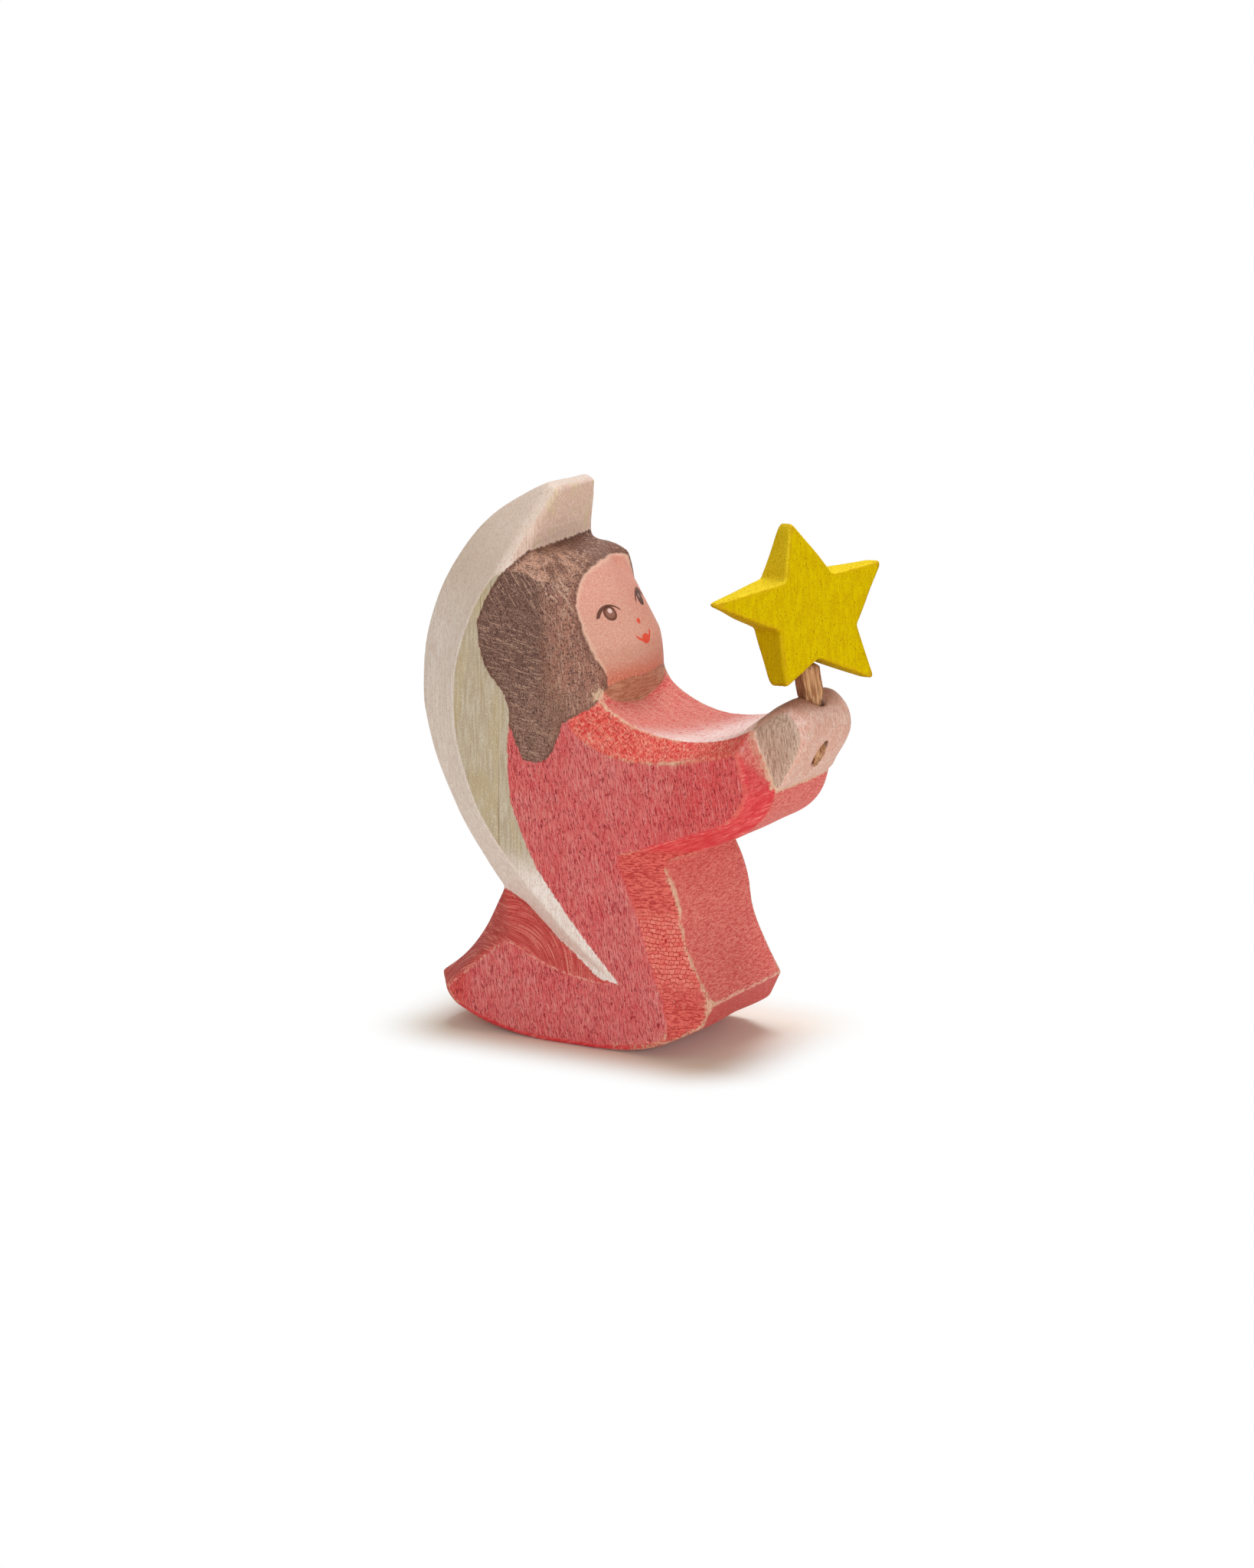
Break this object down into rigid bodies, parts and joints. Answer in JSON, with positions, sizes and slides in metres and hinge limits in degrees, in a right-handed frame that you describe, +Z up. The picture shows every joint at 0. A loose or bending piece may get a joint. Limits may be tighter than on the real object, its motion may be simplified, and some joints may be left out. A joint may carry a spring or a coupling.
{
  "type": "wooden angel figurine",
  "caption": "Kneeling wooden angel in a red dress with pale wings, holding up a yellow star on a stick.",
  "frame": {"origin": "middle of the flat under the figure that it stands on", "axes": "+X is the way the angel faces and holds out the star, +Y is its left, +Z is up"},
  "size_m": [0.0694, 0.0275, 0.082],
  "materials": {
    "painted_wood": "thin water stain in red, off-white, brown and flesh tones over sanded wood, matt",
    "bare_wood": "bare split wood, matt, with open grain",
    "yellow_wood": "mustard yellow stain over sanded wood, with fine dark pores, satin"
  },
  "bodies": {
    "figure": {"angel_figure": "painted_wood"},
    "stick": {"star_stick": "bare_wood"},
    "star": {"star": "yellow_wood"}
  },
  "joints": [
    {"name": "stick_pull", "type": "slide", "parent": "figure", "child": "stick", "axis": [-0.1736, 0, 0.9848], "range_m": [0, 0.011]},
    {"name": "star_turn", "type": "hinge", "parent": "stick", "child": "star", "pos_m": [0.0332, 0, 0.0547], "axis": [-0.1736, 0, 0.9848], "continuous": true}
  ]
}
